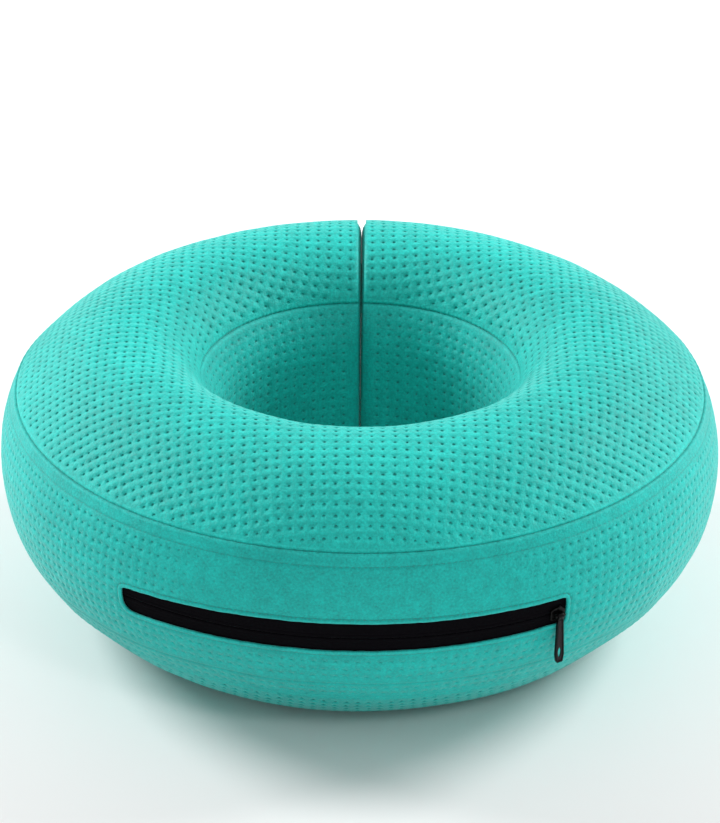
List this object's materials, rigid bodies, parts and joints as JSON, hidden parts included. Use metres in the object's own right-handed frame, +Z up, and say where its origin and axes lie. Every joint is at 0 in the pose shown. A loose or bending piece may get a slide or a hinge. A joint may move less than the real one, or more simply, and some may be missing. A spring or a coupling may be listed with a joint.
{
  "type": "elizabethan collar",
  "caption": "Inflatable ring-shaped recovery collar for a dog: a zipped embossed fabric cover over an air bladder, split at the back and closed by a strap through a ring.",
  "frame": {"origin": "on the neck opening's axis at the height of the flat foot the collar rests on", "axes": "+Z up along the neck opening's axis; -Y towards the middle of the zipper at the front; +X to the wearer-facing viewer's right, where the slider rests"},
  "size_m": [0.38, 0.3848, 0.156],
  "materials": {
    "cover_top_fabric": "embossed knit, matt",
    "cover_side_fabric": "embossed knit, matt",
    "bladder_film": "smooth PVC film",
    "valve_moulding": "soft moulded PVC",
    "zipper_tape": "fine woven polyester",
    "zipper_coil": "nylon",
    "zipper_metal": "gloss black enamel",
    "strap_webbing": "ribbed nylon webbing",
    "ring_steel": "satin black",
    "loop_pile": "brushed loop pile",
    "hook_nylon": "moulded hooks",
    "label_satin": "plain satin"
  },
  "bodies": {
    "collar": {"top_panel": "cover_top_fabric", "side_band": "cover_side_fabric", "bottom_panel": "cover_side_fabric", "neck_band": "cover_side_fabric", "end_panel_left": "cover_side_fabric", "end_panel_right": "cover_side_fabric", "bladder_top_sheet": "bladder_film", "bladder_bottom_sheet": "bladder_film", "valve_flange": "valve_moulding", "zipper_tape_upper": "zipper_tape", "zipper_tape_lower": "zipper_tape", "zipper_coil_upper": "zipper_coil", "zipper_coil_lower": "zipper_coil", "zipper_end_stops": "zipper_metal", "ring_tab": "strap_webbing", "strap_base": "strap_webbing", "strap_fold": "strap_webbing", "loop_patch": "loop_pile", "care_label": "label_satin"},
    "slider": {"zipper_slider": "zipper_metal"},
    "pull": {"zipper_pull": "zipper_metal"},
    "stem": {"valve_stem": "valve_moulding", "plug_tether": "valve_moulding"},
    "plug": {"valve_plug": "valve_moulding"},
    "flap": {"valve_flap": "valve_moulding"},
    "ring": {"ring_buckle": "ring_steel"},
    "tail": {"strap_tail": "strap_webbing", "hook_patch": "hook_nylon"}
  },
  "joints": [
    {"name": "zipper_slide", "type": "hinge", "parent": "collar", "child": "slider", "pos_m": [0, 0, 0.0775], "axis": [0, 0, 1], "range_deg": [-69, 0], "deforming": ["zipper_tape_upper", "zipper_tape_lower", "zipper_coil_upper", "zipper_coil_lower"]},
    {"name": "pull_swing", "type": "hinge", "parent": "slider", "child": "pull", "pos_m": [0.10118, -0.16256, 0.07715], "axis": [-0.849, -0.5284, 0], "range_deg": [-12, 165]},
    {"name": "valve_pop_out", "type": "slide", "parent": "collar", "child": "stem", "axis": [-0.1368, -0.9731, 0.1857], "range_m": [0, 0.005], "deforming": ["valve_flange"]},
    {"name": "plug_pull_out", "type": "slide", "parent": "stem", "child": "plug", "axis": [-0.1368, -0.9731, 0.1857], "range_m": [0, 0.005], "deforming": ["plug_tether"]},
    {"name": "flap_open", "type": "hinge", "parent": "stem", "child": "flap", "pos_m": [-0.02234, -0.15893, 0.1], "axis": [0.9903, -0.1392, 0], "range_deg": [0, 40]},
    {"name": "ring_swivel", "type": "hinge", "parent": "collar", "child": "ring", "pos_m": [0.03344, 0.18962, 0.086], "axis": [0, 0, -1], "range_deg": [0, 25], "deforming": ["strap_fold"]},
    {"name": "strap_peel", "type": "hinge", "parent": "collar", "child": "tail", "pos_m": [0.00959, 0.19396, 0.086], "axis": [0, 0, -1], "range_deg": [0, 110]}
  ]
}
